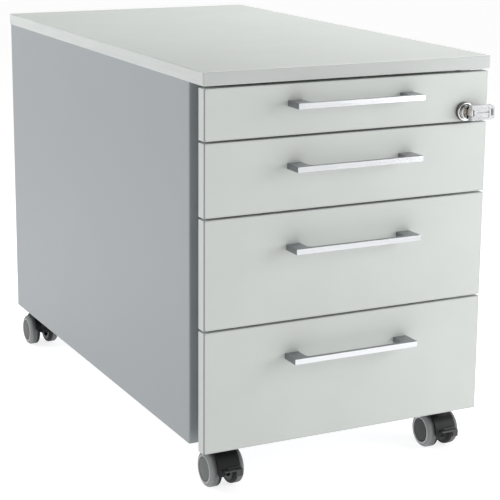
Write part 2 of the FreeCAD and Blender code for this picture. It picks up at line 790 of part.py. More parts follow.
def lock_bar():
    """Stamped flat bar: an arm with a cross slot for the driving pin, and a hook under each lower slide."""
    bar_back = BAR_FRONT + BAR_THICK
    pieces = [box(BAR_X[0], BAR_X[1], BAR_FRONT, bar_back, BAR_LOW, ARM_Z[1])]
    arm = outline(
        [
            (ARM_TIP, ARM_Z[0], 2.0),
            (BAR_X[1], ARM_Z[0], 0),
            (BAR_X[1], ARM_Z[1], 0),
            (ARM_TIP, ARM_Z[1], 2.0),
        ]
    )
    pieces.append(along_y(arm, BAR_FRONT, bar_back))
    for number in DRAWERS[1:]:
        bottom = SLIDE_HEIGHTS[number] - HOOK_DROP
        pieces.append(box(HOOK_TIP, BAR_X[0] + 1, BAR_FRONT, bar_back, bottom, bottom + HOOK_TALL))
    x0, x1, z0, z1 = ARM_SLOT
    slot = outline([(x0, z0, 2.0), (x1, z0, 2.0), (x1, z1, 2.0), (x0, z1, 2.0)])
    export("lock_bar", [joined(pieces).cut(along_y(slot, BAR_FRONT - 1, bar_back + 1))])


def lock_bar_guides():
    """Clips welded behind the right front flange, in which the lock bar slides."""
    clips = []
    front = CARCASS_FRONT + SHEET
    back = BAR_FRONT + BAR_THICK + GUIDE_GAP
    left = MOUTH_HALF + 2 * SHEET
    right = BAR_X[1] + GUIDE_GAP
    for z in GUIDE_HEIGHTS:
        shell = box(left, right + 1.2, front, back + 1.2, z, z + GUIDE_TALL)
        hollow = box(BAR_X[0] - GUIDE_GAP, right, front - 1, back, z - 1, z + GUIDE_TALL + 1)
        clips.append(shell.cut(hollow))
    export("lock_bar_guides", clips)


# ---------------------------------------------------------------- casters


def placed(shape, x, y, turned):
    """Caster piece drawn about its swivel axis, put in place; a turned one trails to the rear."""
    copy = shape.copy()
    if turned:
        copy.rotate(V(0, 0, 0), V(0, 0, 1), 180)
    copy.translate(V(x, y, 0))
    return copy


def hood():
    """Curved cover over both wheels."""
    outer = rod_x(-TRAIL, WHEEL_R, HOOD_R, -HOOD_HALF, HOOD_HALF)
    rims = [edge for edge in outer.Edges if edge.BoundBox.XLength < 1e-4]
    outer = outer.makeFillet(1.0, rims)
    inner = rod_x(-TRAIL, WHEEL_R, HOOD_R - HOOD_WALL, -HOOD_HALF - 1, HOOD_HALF + 1)
    shell = outer.cut(inner).cut(box(-30, 30, -TRAIL - 40, -TRAIL, -10, HOOD_LEG_Z))
    for side in (-1, 1):
        shell = shell.cut(leg_corner(side * HOOD_HALF, side))
    return shell.cut(box(-30, 30, -TRAIL, 40, -10, HOOD_BACK_Z))


def leg_corner(x, side):
    """What rounding takes off the lower corner of the hood's front at x, on the given side."""
    middle = x - side * HOOD_LEG_ROUND
    z = HOOD_LEG_Z + HOOD_LEG_ROUND
    block = box(min(x + side, middle), max(x + side, middle), -TRAIL - 40, -TRAIL, HOOD_LEG_Z - 1, z)
    return block.cut(rod_y(middle, z, HOOD_LEG_ROUND, -TRAIL - 41, -TRAIL + 1))


def caster_housing(braked):
    """Housing about its swivel axis: hood, middle web, swivel turret and, if braked, the lever's pin."""
    cover = hood()
    web = rod_x(-TRAIL, WHEEL_R, HOOD_R - 1, -WEB_HALF, WEB_HALF)
    web = web.cut(box(-30, 30, -60, 60, -10, WHEEL_R))
    boss = rod_x(-TRAIL, WHEEL_R, AXLE_R + 4.5, -WEB_HALF, WEB_HALF)
    turret = rod_z(0, 0, TURRET_R, WHEEL_R + 21, TURRET_TOP)
    turret = turret.makeFillet(1.0, rim_edges(turret, [TURRET_TOP]))
    wheel_room = rod_x(-TRAIL, WHEEL_R, HOOD_R - HOOD_WALL, WEB_HALF, 30)
    turret = turret.cut(wheel_room).cut(mirrored(wheel_room))
    neck = box(-WEB_HALF, WEB_HALF, -TRAIL, TURRET_R - 4, WHEEL_R + 8, WHEEL_R + 24)
    pieces = [cover, web, boss, turret, neck]
    if braked:
        y = lever_y()
        notch = box(LEVER_X[0] - 0.4, 30, y - 30, y + 4, -10, LEVER_Z + LEVER_R + 0.6)
        leg_edge = LEVER_X[0] - 3.4
        beside_leg = box(leg_edge, 30, y - 30, y + 4, -10, HOOD_LEG_Z + 2)
        body = joined(pieces).cut(notch.fuse(beside_leg)).cut(leg_corner(leg_edge, 1))
        body = body.cut(rod_x(y, LEVER_Z, LEVER_R + 0.5, LEVER_X[0] - 0.4, 30))
        pin = rod_x(y, LEVER_Z, LEVER_PIN_R, LEVER_X[0] - 4, LEVER_X[1] - 0.4)
        body = joined([body, pin])
    else:
        body = joined(pieces)
    body = body.cut(rod_x(-TRAIL, WHEEL_R, AXLE_R, -30, 30))
    return body.cut(rod_z(0, 0, STEM_R + FIT_GAP, WHEEL_R + 8.6, TURRET_TOP + 1))


def lever_y():
    """Y of the brake lever's pivot, which lies in the middle of the hood's wall."""
    reach = HOOD_R - HOOD_WALL / 2
    return -TRAIL - math.sqrt(reach**2 - (LEVER_Z - WHEEL_R) ** 2)


def brake_lever():
    """Pedal with a turned-down lip, on a barrel round the housing's pin."""
    y = lever_y()
    barrel = rod_x(y, LEVER_Z, LEVER_R, *LEVER_X)
    top = LEVER_Z + 0.6
    under = top - PEDAL_THICK
    clear = y - 2.6
    tread = outline([(PEDAL_TIP, under, 0), (y, under, 0), (y, top, 0), (PEDAL_TIP, top, 1.8)])
    tread = along_x(tread, *LEVER_X)
    left = outline([(PEDAL_TIP, under, 0), (clear, under, 0), (clear, top, 0), (PEDAL_TIP, top, 1.8)])
    left = along_x(left, PEDAL_LEFT, LEVER_X[0])
    lip_y = PEDAL_TIP + LIP_THICK
    foot = under - LIP_DROP
    lip = outline([(PEDAL_TIP, foot, 1.0), (lip_y, foot, 1.0), (lip_y, top - 1, 0), (PEDAL_TIP, top - 1, 0)])
    lip = along_x(lip, LEVER_X[1] - LIP_WIDTH, LEVER_X[1])
    bore = rod_x(y, LEVER_Z, LEVER_PIN_R + FIT_GAP, LEVER_X[0] - 1, LEVER_X[1] + 1)
    return joined([barrel, tread, left, lip]).cut(bore)


def tyre():
    """Soft tread ring on the right wheel: round shoulders, and a proud rim round the hub's cap."""
    x0, x1 = WHEEL_X
    side = x1 - TYRE_RIM
    section = outline(
        [
            (x0 + DISC_THICK, HUB_R, 0),
            (side, HUB_R, 0),
            (x1, HUB_R + 0.6, 0.4),
            (x1, HUB_R + 2.2, 0.6),
            (side, HUB_R + 2.6, 0),
            (side, WHEEL_R, 5.0),
            (x0, WHEEL_R, 4.0),
            (x0, DISC_R, 0),
            (x0 + DISC_THICK, DISC_R, 0),
        ]
    )
    return section.revolve(V(0, 0, 0), V(1, 0, 0), 360)


def hub():
    """Hub of the right wheel: domed cap outside, dished disc inside, blind bore for the axle."""
    x0, x1 = WHEEL_X
    bore = AXLE_R + FIT_GAP
    section = outline(
        [
            (x0 + 0.4, bore, 0),
            (x0 + 0.4, bore + 4, 0),
            (x0 + 4.5, bore + 5, 0),
            (x0 + 4.5, HUB_R - 3, 0),
            (x0 + 0.3, HUB_R - 2, 0),
            (x0 + 0.3, DISC_R, 0),
            (x0 + DISC_THICK, DISC_R, 0),
            (x0 + DISC_THICK, HUB_R, 0),
            (x1 - 1.6, HUB_R, 0),
            (x1 - 1.6, HUB_R - 0.7, 0),
            (x1 - 0.6, HUB_R - 1.2, 0),
            (x1 - 0.2, 0, 0),
            (x1 - 3.2, 0, 0),
            (x1 - 3.2, bore, 0),
        ]
    )
    return section.revolve(V(0, 0, 0), V(1, 0, 0), 360)


def axle():
    """Steel axle pressed through the housing's boss."""
    reach = WHEEL_X[1] - 4.0
    return rod_x(-TRAIL, WHEEL_R, AXLE_R, -reach, reach)


def casters():
    """All four casters: housings with axles, levers on the front pair, wheels, stems and plates."""
    right_tyre = moved(tyre(), y=-TRAIL, z=WHEEL_R)
    right_hub = moved(hub(), y=-TRAIL, z=WHEEL_R)
    wheels = {"right": (right_tyre, right_hub), "left": (mirrored(right_tyre), mirrored(right_hub))}
    stems = []
    plates = []
    for name, (x, y, turned) in CASTERS.items():
        housing = caster_housing(braked=not turned)
        export(f"caster_{name}_housing", [placed(housing, x, y, turned), placed(axle(), x, y, turned)])
        if not turned:
            export(f"brake_lever_{name}", [placed(brake_lever(), x, y, turned)])
        for side, (ring, disc) in wheels.items():
            shown = side if not turned else {"left": "right", "right": "left"}[side]
            export(f"wheel_{name}_{shown}_tyre", [placed(ring, x, y, turned)])
            export(f"wheel_{name}_{shown}_hub", [placed(disc, x, y, turned)])
        stems += stem(x, y)
        plates.append(stem_plate(x, y, turned))
    export("caster_stems", stems)
    export("caster_plates", plates)


def stem(x, y):
    """Threaded stem with its collar, and the nut that holds it."""
    shank = rod_z(x, y, STEM_R, WHEEL_R + 9, STEM_TOP)
    shank = shank.makeChamfer(0.8, rim_edges(shank, [STEM_TOP]))
    collar = rod_z(x, y, STEM_R + 4, TURRET_TOP + 0.3, CARCASS_UNDER)
    nut_low = CARCASS_UNDER + SHEET + PLATE_THICK
    turns = [math.radians(angle) for angle in range(0, 360, 60)]
    corners = [(x + NUT_R * math.cos(turn), y + NUT_R * math.sin(turn), 0) for turn in turns]
    nut = along_z(outline(corners), nut_low, nut_low + NUT_TALL)
    nut = nut.cut(rod_z(x, y, STEM_R, nut_low - 1, nut_low + NUT_TALL + 1))
    return [joined([shank, collar]), nut]


def stem_plate(x, y, turned):
    """Reinforcing plate welded on the base panel round one stem."""
    low = CARCASS_UNDER + SHEET
    y0 = y - PLATE_LONG / 2 if turned else CARCASS_FRONT + FLANGE_LIP
    plate = box(x - PLATE_HALF, x + PLATE_HALF, y0, y0 + PLATE_LONG, low, low + PLATE_THICK)
    return plate.cut(rod_z(x, y, STEM_R, low - 1, low + PLATE_THICK + 1))


# ---------------------------------------------------------------- assembly


def main():
    """Writes every node of the cabinet."""
    os.makedirs("parts", exist_ok=True)
    right = side_panel()
    export("right_side_panel", [right])
    export("left_side_panel", [mirrored(right)])
    back_panel()
    base_panel()
    top_rails()
    carcass_screws()
    top_board()
    uprights = []
    for front in UPRIGHT_FRONTS:
        uprights += both(upright(front))
    export("rail_uprights", uprights)
    slides()
    for number in DRAWERS:
        drawer_front(number)
        tray(number)
        handle(number)
    lock_cylinder()
    lock_plug()
    key_blade()
    key_head()
    lock_bar()
    lock_bar_guides()
    casters()


main()
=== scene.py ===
import math

import bmesh
import bpy
from mathutils import Matrix, Vector


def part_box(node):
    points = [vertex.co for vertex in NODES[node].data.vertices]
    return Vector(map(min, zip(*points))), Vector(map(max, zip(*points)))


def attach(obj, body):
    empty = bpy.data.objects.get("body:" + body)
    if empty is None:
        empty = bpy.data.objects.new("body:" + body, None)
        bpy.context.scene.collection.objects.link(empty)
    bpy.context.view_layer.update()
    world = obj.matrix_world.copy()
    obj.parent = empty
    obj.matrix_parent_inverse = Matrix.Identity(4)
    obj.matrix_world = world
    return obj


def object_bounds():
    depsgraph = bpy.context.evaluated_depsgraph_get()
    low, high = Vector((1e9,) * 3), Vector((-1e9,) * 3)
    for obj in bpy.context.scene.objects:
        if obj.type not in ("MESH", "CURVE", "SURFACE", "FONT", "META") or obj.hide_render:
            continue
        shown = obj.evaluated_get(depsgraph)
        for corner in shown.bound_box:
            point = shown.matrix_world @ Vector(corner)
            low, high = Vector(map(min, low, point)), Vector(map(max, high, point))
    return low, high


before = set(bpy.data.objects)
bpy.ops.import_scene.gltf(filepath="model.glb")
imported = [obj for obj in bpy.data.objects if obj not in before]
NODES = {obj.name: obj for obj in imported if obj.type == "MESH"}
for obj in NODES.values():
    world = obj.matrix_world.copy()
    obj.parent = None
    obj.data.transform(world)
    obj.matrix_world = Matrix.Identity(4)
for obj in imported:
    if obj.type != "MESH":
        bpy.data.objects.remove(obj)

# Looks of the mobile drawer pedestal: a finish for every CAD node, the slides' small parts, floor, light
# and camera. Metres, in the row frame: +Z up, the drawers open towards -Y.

CAD_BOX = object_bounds()
DRAWERS = (1, 2, 3, 4)
CORNERS = ("front_left", "front_right", "rear_left", "rear_right")
SIDES = ("left", "right")
COATED = ("left_side_panel", "right_side_panel", "back_panel", "base_panel", "top_rails", "caster_plates")
PLATED = ("lock_bar", "lock_bar_guides", "outer_rails", "rail_uprights", "carcass_screws", "caster_stems")

# Camera, fitted to the straight edges of the photographed object
CAMERA_AT = (-1.0256, -2.1373, 0.8398)
CAMERA_YAW = 26.443
CAMERA_PITCH = 12.582
CAMERA_ROLL = -0.444
CAMERA_LENS = 112.5
CAMERA_SHIFT = -0.10

# Linear base colours; some of them carry painted light and shade, as noted
SILVER = (0.302, 0.325, 0.341)
TRAY = (0.400, 0.415, 0.415)
TOP = (0.500, 0.525, 0.505)
BOARD = (0.560, 0.585, 0.565)
EDGE = (0.560, 0.585, 0.570)
# Dark joint between laminate and edge band, also used as painted shade along the fronts' left edges
JOINT_AND_SHADE_LINE = (0.185, 0.198, 0.195)
# Handle colours: painted reflection, bright on the bar's front and dark on its other sides
HANDLE_FACE_SHEEN = (0.700, 0.712, 0.732)
HANDLE_BODY_SHADE = (0.285, 0.295, 0.310)
ZINC = (0.560, 0.565, 0.560)
NICKEL = (0.740, 0.735, 0.720)
# Painted shade and painted dark reflection on the lock and key metal
NICKEL_SHADE = (0.045, 0.042, 0.038)
PLUG_WARM = (0.400, 0.345, 0.290)
KEY = (0.560, 0.568, 0.585)
TYRE = (0.120, 0.125, 0.128)
# Painted light on the tyres' outer sides and round their caps
TYRE_PAINTED_LIGHT = (0.290, 0.298, 0.300)
# Cap grey for each caster, painted darker where the caster sits in more shade
CAP_GREY_AND_SHADE = {"front_left": 0.088, "front_right": 0.011, "rear_left": 0.045, "rear_right": 0.045}
# Black nylon, also used as the painted shade between each caster's wheels
BLACK = (0.0035, 0.0037, 0.0042)
LEVER = (0.040, 0.041, 0.043)
FLOOR = (0.500, 0.500, 0.500)

# Studio: the floor's glow, the walls' brightness by height, each soft box's place, size and power in watts
FLOOR_SIZE = 60.0
FLOOR_GLOW = 0.80
WALLS = {"From Min": 0.13, "From Max": 0.36, "To Min": 1.0, "To Max": 0.26}
LIGHTS = {
    "key_light": ((1.08, -1.12, 0.62), 0.8, 9.5),
    "top_light": ((0.75, 0.2, 1.75), 1.0, 23.0),
    "side_light": ((-1.6, 1.0, 1.4), 0.9, 15.0),
}
LIGHTS_AIM = (0, 0, 0.3)

# Where the finishes and the painted light and shade change, in metres
BAND_THICK = 0.0012
GROOVE_RADIUS = 0.0102
KEYWAY_HALF = 0.0009
RIM_HIGHLIGHT_RADIUS = 0.0184
TYRE_SHADE_FROM = 0.0110

# Slides, in metres
RAIL_SHEET = 0.0012
TRAY_SHEET = 0.001
CAGE_SHEET = 0.0006
CAGE_LENGTH = 0.27
CAGE_INSET = 0.012
OUTER_CAGE_DEPTH = 0.0065
INNER_CAGE_DEPTH = 0.0055
BALL_PITCH = 0.024
BALL_CLEAR = 0.0001
OUTER_BALL_DEPTH = 0.004
INNER_BALL_DEPTH = 0.0035
STOP_LENGTH = 0.009
STOP_CLEAR = 0.0004
OUTER_STOP_DEPTH = 0.008
INNER_STOP_DEPTH = 0.0055
STOP_BEVEL = 0.0004
RIVETS_Y = (-0.29, -0.17, 0.05, 0.19, 0.275)
LEVER_Y = -0.045
LEVER_PIVOT = 0.026
LEVER_THICK = 0.0042
LEVER_BEVEL = 0.0003

# Rivet heads as (distance along the axis, radius), the release lever's outline as (y, z) from its middle
HEAD_OUTSIDE = ((0, 0.0034), (0.0005, 0.0034), (0.0012, 0.0027), (0.0016, 0.0014))
HEAD_INSIDE = ((0, 0.0030), (0.0004, 0.0030), (0.0010, 0.0022), (0.0012, 0.0010))
HEAD_STEPS = 20
LEVER_OUTLINE = (
    (-0.034, -0.0042), (-0.030, -0.0060), (-0.022, -0.0060), (-0.016, -0.0030), (0.020, -0.0022),
    (0.030, -0.0052), (0.034, -0.0048), (0.034, -0.0010), (0.024, 0.0030), (-0.016, 0.0034),
    (-0.022, 0.0060), (-0.030, 0.0060), (-0.034, 0.0042),
)


class Shade:
    """A material under construction, with short calls for the nodes that the finishes share."""

    def __init__(self, name, roughness, metallic=0.0, **sockets):
        self.material = bpy.data.materials.new(name)
        self.material.use_nodes = True
        self.tree = self.material.node_tree
        self.bsdf = self.tree.nodes["Principled BSDF"]
        self.bsdf.inputs["Roughness"].default_value = roughness
        self.bsdf.inputs["Metallic"].default_value = metallic
        for socket, value in sockets.items():
            self.bsdf.inputs[socket.replace("_", " ")].default_value = value
        self.place = self.node("ShaderNodeTexCoord")

    def node(self, kind, inputs=(), **settings):
        """Adds a node; inputs maps a socket's name or number to a value or to another node's output."""
        made = self.tree.nodes.new(kind)
        for key, value in settings.items():
            setattr(made, key, value)
        for key, value in dict(inputs).items():
            self.feed(made.inputs[key], value)
        return made

    def feed(self, socket, value):
        """Links a socket to another node's output, or sets the socket's own value."""
        if isinstance(value, bpy.types.NodeSocket):
            self.tree.links.new(value, socket)
        else:
            socket.default_value = value

    def at(self, scale=(1, 1, 1)):
        """The place on the part in metres, stretched by scale."""
        inputs = {"Vector": self.place.outputs["Object"], "Scale": scale}
        return self.node("ShaderNodeMapping", inputs).outputs[0]

    def noise(self, scale, detail=2.0, stretch=(1, 1, 1), roughness=0.5):
        """Noise of about scale waves per metre, finer along the axes that stretch enlarges."""
        inputs = {"Vector": self.at(stretch), "Scale": scale, "Detail": detail, "Roughness": roughness}
        return self.node("ShaderNodeTexNoise", inputs).outputs["Fac"]

    def calc(self, operation, a, b=0.0):
        """One step of arithmetic on two values."""
        return self.node("ShaderNodeMath", {0: a, 1: b}, operation=operation).outputs[0]

    def span(self, value, low, high, to_low=0.0, to_high=1.0):
        """Maps value from low..high to to_low..to_high, clamped and smooth."""
        inputs = {"Value": value, "From Min": low, "From Max": high, "To Min": to_low, "To Max": to_high}
        return self.node("ShaderNodeMapRange", inputs, interpolation_type="SMOOTHSTEP").outputs["Result"]

    def blend(self, factor, a, b):
        """Mixes two colours: a where factor is 0, b where it is 1."""
        mixer = self.node("ShaderNodeMix", data_type="RGBA")
        inputs = (("Factor", "VALUE", factor), ("A", "RGBA", colour(a)), ("B", "RGBA", colour(b)))
        for key, kind, value in inputs:
            socket = next(entry for entry in mixer.inputs if entry.name == key and entry.type == kind)
            self.feed(socket, value)
        return next(entry for entry in mixer.outputs if entry.type == "RGBA")

    def axes(self, output="Object"):
        """The X, Y and Z of a point on the part, or of the surface's direction for output "Normal"."""
        return self.node("ShaderNodeSeparateXYZ", {0: self.place.outputs[output]}).outputs

    def from_axis(self, a, b, centre_a, centre_b):
        """Distance from an axis, for a point's two coordinates across it."""
        a, b = self.calc("SUBTRACT", a, centre_a), self.calc("SUBTRACT", b, centre_b)
        return self.calc("SQRT", self.calc("ADD", self.calc("MULTIPLY", a, a), self.calc("MULTIPLY", b, b)))

    def paint(self, value, socket="Base Color"):
        """Feeds a value to one of the surface's inputs."""
        self.feed(self.bsdf.inputs[socket], value)

    def bump(self, height, depth, strength):
        """Relief too fine for the mesh: height runs from 0 to 1, depth is in metres."""
        inputs = {"Height": height, "Distance": depth, "Strength": strength}
        self.paint(self.node("ShaderNodeBump", inputs).outputs["Normal"], "Normal")


def colour(value):
    """A colour as a socket takes it: with its fourth channel, or another node's output as it is."""
    return value if isinstance(value, bpy.types.NodeSocket) or len(value) == 4 else (*value, 1.0)


def lighter(base, factor):
    """The colour times factor, darker below 1."""
    return tuple(min(1.0, channel * factor) for channel in base)


def powder_coat(name, base, roughness=0.42):
    """Powder-coated sheet: fine orange peel, faint cloudiness, sparse bright metallic flakes."""
    s = Shade(name, roughness, metallic=0.25, Coat_Weight=0.12, Coat_Roughness=0.3)
    cloud = s.noise(7.0, 3.0)
    flakes = s.span(s.noise(1900.0, 1.0), 0.60, 0.72)
    tone = s.blend(s.span(cloud, 0.35, 0.65), lighter(base, 0.975), lighter(base, 1.025))
    s.paint(s.blend(s.calc("MULTIPLY", flakes, 0.16), tone, lighter(base, 1.5)))
    s.paint(s.span(cloud, 0.3, 0.7, roughness - 0.03, roughness + 0.04), "Roughness")
    s.bump(s.noise(620.0, 2.0), 0.00006, 0.5)
    return s.material


def laminate(name, base):
    """Melamine-faced board: a fine pearl grain pressed into the surface, barely visible mottling."""
    s = Shade(name, 0.46, Specular_IOR_Level=0.45)
    s.paint(laminate_tone(s, base))
    pearl_grain(s, 0.41, 0.52)
    return s.material


def pearl_grain(s, smooth, rough):
    """The grain in melamine's gloss and relief: smooth and rough are the roughness at its two ends."""
    grain = s.noise(880.0, 3.0)
    s.paint(s.span(grain, 0.3, 0.7, smooth, rough), "Roughness")
    s.bump(grain, 0.00005, 0.45)


def laminate_tone(s, base):
    """The printed colour of melamine: faint mottling and fine speckle."""
    speckle = s.span(s.noise(1500.0, 1.0), 0.42, 0.62)
    mottle = s.span(s.noise(11.0, 2.0), 0.3, 0.7)
    tone = s.blend(mottle, lighter(base, 0.985), lighter(base, 1.015))
    return s.blend(s.calc("MULTIPLY", speckle, 0.10), tone, lighter(base, 0.86))


def rim_distance(s, low, high):
    """How far a point lies inside the front's outline, in metres."""
    x, _, z = s.axes()
    across = s.calc("MINIMUM", s.calc("SUBTRACT", x, low.x), s.calc("SUBTRACT", high.x, x))
    upwards = s.calc("MINIMUM", s.calc("SUBTRACT", z, low.z), s.calc("SUBTRACT", high.z, z))
    return s.calc("MINIMUM", across, upwards)


def drawer_front(name, node):
    """Laminate face with its four edge bands and the thin dark joint inside them; painted shade makes the
    joint darkest on the left.
    """
    s = Shade(name, 0.46, Specular_IOR_Level=0.45)
    low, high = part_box(node)
    inside = rim_distance(s, low, high)
    face = s.blend(s.span(inside, 0.75 * BAND_THICK, BAND_THICK), EDGE, laminate_tone(s, BOARD))
    joint = s.calc("ABSOLUTE", s.calc("SUBTRACT", inside, BAND_THICK))
    # Painted shade: the joint line is painted almost fully dark along the left edge and only faintly
    # elsewhere
    left = s.span(s.axes()[0], low.x + 0.002, low.x + 0.003, 0.9, 0.12)
    front = s.span(s.axes("Normal")[1], -0.05, -0.4)
    near = s.span(joint, 0.5 * BAND_THICK, BAND_THICK, 1.0, 0.0)
    line = s.calc("MULTIPLY", s.calc("MULTIPLY", near, left), front)
    s.paint(s.blend(line, face, JOINT_AND_SHADE_LINE))
    pearl_grain(s, 0.40, 0.52)
    return s.material


def edge_band(name):
    """Plastic edge band: smoother than board, with faint roller marks; the front-facing band is painted a
    shade darker as painted shade.
    """
    s = Shade(name, 0.38)
    marks = s.noise(260.0, 2.0, stretch=(0.06, 0.06, 1.0))
    tone = s.blend(s.span(marks, 0.3, 0.7), lighter(EDGE, 0.97), lighter(EDGE, 1.03))
    # Painted shade: faces turned to the front get a darker band colour
    front = s.span(s.axes("Normal")[1], -0.7, -0.9)
    s.paint(s.blend(front, tone, lighter(EDGE, 0.86)))
    s.bump(marks, 0.00003, 0.4)
    return s.material


def handle_metal(name):
    """Bow handle of brushed metal with painted reflection: the bar's front is painted bright and the other
    sides darker.
    """
    s = Shade(name, 0.3, metallic=1.0, Anisotropic=0.4)
    streaks = s.noise(1.0, 4.0, stretch=(30.0, 2600.0, 2600.0), roughness=0.65)
    # Painted reflection: faces turned to the front get the bright colour, all others the dark one
    front = s.span(s.axes("Normal")[1], -0.80, -0.95)
    body = s.blend(s.span(streaks, 0.3, 0.7), lighter(HANDLE_BODY_SHADE, 0.8), lighter(HANDLE_BODY_SHADE, 1.25))
    face = s.blend(s.span(streaks, 0.3, 0.7), lighter(HANDLE_FACE_SHEEN, 0.93), HANDLE_FACE_SHEEN)
    s.paint(s.blend(front, body, face))
    s.paint(s.span(streaks, 0.25, 0.75, 0.16, 0.27), "Roughness")
    s.bump(streaks, 0.00003, 0.35)
    return s.material


def zinc(name):
    """Bright zinc plating on steel: faint crystal patches and draw marks along the part."""
    s = Shade(name, 0.34, metallic=1.0)
    patches = s.node("ShaderNodeTexVoronoi", {"Vector": s.at(), "Scale": 160.0}, feature="SMOOTH_F1")
    draw = s.noise(1.0, 3.0, stretch=(900.0, 25.0, 900.0))
    tone = s.blend(s.span(patches.outputs["Distance"], 0.1, 0.7), lighter(ZINC, 0.9), lighter(ZINC, 1.08))
    s.paint(s.blend(s.calc("MULTIPLY", draw, 0.3), tone, lighter(ZINC, 0.7)))
    s.paint(s.span(draw, 0.3, 0.7, 0.26, 0.42), "Roughness")
    s.bump(draw, 0.00002, 0.3)
    return s.material


def lock_metal(name):
    """Nickel rosette with faint wear; painted shade darkens its groove, and a painted dark reflection darkens
    its rim.
    """
    s = Shade(name, 0.13, metallic=1.0)
    low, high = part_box("lock_cylinder")
    x, _, z = s.axes()
    rosette = (high.x - low.x) / 2
    radius = s.from_axis(x, z, (low.x + high.x) / 2, (low.z + high.z) / 2)
    wear = s.noise(240.0, 4.0)
    tone = s.blend(s.span(wear, 0.35, 0.75), NICKEL, lighter(NICKEL, 0.86))
    # Painted dark reflection on the rosette's rim
    tone = s.blend(s.span(radius, rosette - 0.0009, rosette - 0.0002, 0.0, 0.8), tone, NICKEL_SHADE)
    # Painted shade in the groove round the plug
    groove = s.calc("ABSOLUTE", s.calc("SUBTRACT", radius, GROOVE_RADIUS))
    s.paint(s.blend(s.span(groove, 0.0002, 0.0006, 1.0, 0.0), tone, NICKEL_SHADE))
    s.paint(s.span(wear, 0.3, 0.7, 0.10, 0.24), "Roughness")
    s.bump(s.noise(1500.0, 2.0), 0.00002, 0.25)
    return s.material


def plug_metal(name):
    """Plug face: bright on one side, rubbed down to the warmer metal on the other, with painted shade along
    the keyway.
    """
    s = Shade(name, 0.2, metallic=1.0)
    low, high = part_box("lock_cylinder")
    x = s.axes()[0]
    middle = (low.x + high.x) / 2
    wear = s.noise(420.0, 4.0)
    side = s.calc("ADD", s.calc("SUBTRACT", x, middle), s.span(wear, 0.3, 0.7, -0.0006, 0.0006))
    tone = s.blend(s.span(side, -0.0012, 0.0004), NICKEL, PLUG_WARM)
    # Painted shade: a dark band along the keyway
    across = s.calc("ABSOLUTE", s.calc("SUBTRACT", x, middle + 0.0002))
    s.paint(s.blend(s.span(across, KEYWAY_HALF, KEYWAY_HALF + 0.0005, 1.0, 0.0), tone, NICKEL_SHADE))
    s.paint(s.span(wear, 0.3, 0.7, 0.16, 0.30), "Roughness")
    s.bump(s.noise(1500.0, 2.0), 0.00002, 0.25)
    return s.material


def blade_metal(name):
    """Key blade: nickel silver, with painted shade where it enters the keyway, and moulded over where the
    head folds.
    """
    s = Shade(name, 0.3)
    y = s.axes()[1]
    head_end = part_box("key_head")[1].y
    plug_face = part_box("lock_plug")[0].y
    moulded = s.span(y, head_end - 0.0015, head_end - 0.0008, 1.0, 0.0)
    # Painted shade on the blade where it enters the plug
    shadowed = s.span(y, plug_face - 0.0012, plug_face - 0.0004)
    wear = s.noise(420.0, 4.0)
    worn = s.blend(s.span(wear, 0.3, 0.7), PLUG_WARM, lighter(PLUG_WARM, 1.25))
    s.paint(s.blend(moulded, s.blend(shadowed, worn, NICKEL_SHADE), KEY))
    s.paint(s.calc("SUBTRACT", 1.0, moulded), "Metallic")
    s.paint(s.span(wear, 0.3, 0.7, 0.24, 0.36), "Roughness")
    s.bump(s.noise(1500.0, 2.0), 0.00002, 0.25)
    return s.material


def tyre_rubber(name, node, outer_x):
    """Soft tyre: darker tread with worn patches; painted light makes the outer side pale and puts a light
    ring round the cap, and painted shade turns it black towards the other wheel.
    """
    s = Shade(name, 0.58, Specular_IOR_Level=0.35)
    low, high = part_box(node)
    x, y, z = s.axes()
    radius = s.from_axis(y, z, (low.y + high.y) / 2, (low.z + high.z) / 2)
    depth = s.calc("ABSOLUTE", s.calc("SUBTRACT", x, outer_x))
    grit = s.noise(900.0, 3.0)
    scuff_and_light_edge = s.noise(150.0, 3.0)
    tread = s.blend(s.span(scuff_and_light_edge, 0.3, 0.7), lighter(TYRE, 0.85), lighter(TYRE, 1.2))
    # Painted light: the outer side is painted pale, out to a ragged edge
    ragged = s.calc("ADD", depth, s.span(scuff_and_light_edge, 0.3, 0.7, -0.001, 0.001))
    tone = s.blend(s.span(ragged, 0.002, 0.007, 0.75, 0.0), tread, TYRE_PAINTED_LIGHT)
    # Painted highlight: a light ring round the cap
    ring = s.calc("ABSOLUTE", s.calc("SUBTRACT", radius, RIM_HIGHLIGHT_RADIUS))
    tone = s.blend(s.span(ring, 0.0008, 0.0014, 1.0, 0.0), tone, lighter(TYRE_PAINTED_LIGHT, 1.6))
    tone = s.blend(s.calc("MULTIPLY", s.span(grit, 0.5, 0.7), 0.3), tone, lighter(TYRE, 0.5))
    # Painted shade: black towards the other wheel
    s.paint(s.blend(s.span(depth, TYRE_SHADE_FROM, TYRE_SHADE_FROM + 0.0015), tone, BLACK))
    s.paint(s.span(grit, 0.3, 0.7, 0.5, 0.66), "Roughness")
    s.bump(grit, 0.00012, 0.6)
    return s.material


def hub_plastic(name, outer_x, cap):
    """Hub: satin cap outside, its grey painted darker at the more shaded casters; painted shade turns it
    black towards the other wheel.
    """
    s = Shade(name, 0.36, Specular_IOR_Level=0.4)
    depth = s.calc("ABSOLUTE", s.calc("SUBTRACT", s.axes()[0], outer_x))
    grit = s.noise(1100.0, 3.0)
    base = (cap, cap * 1.03, cap * 1.04)
    face = s.blend(s.span(s.noise(60.0, 2.0), 0.3, 0.7), lighter(base, 0.9), lighter(base, 1.1))
    # Painted shade: black towards the other wheel
    s.paint(s.blend(s.span(depth, 0.006, 0.008), face, BLACK))
    s.paint(s.span(grit, 0.3, 0.7, 0.32, 0.46), "Roughness")
    s.bump(grit, 0.00006, 0.5)
    return s.material


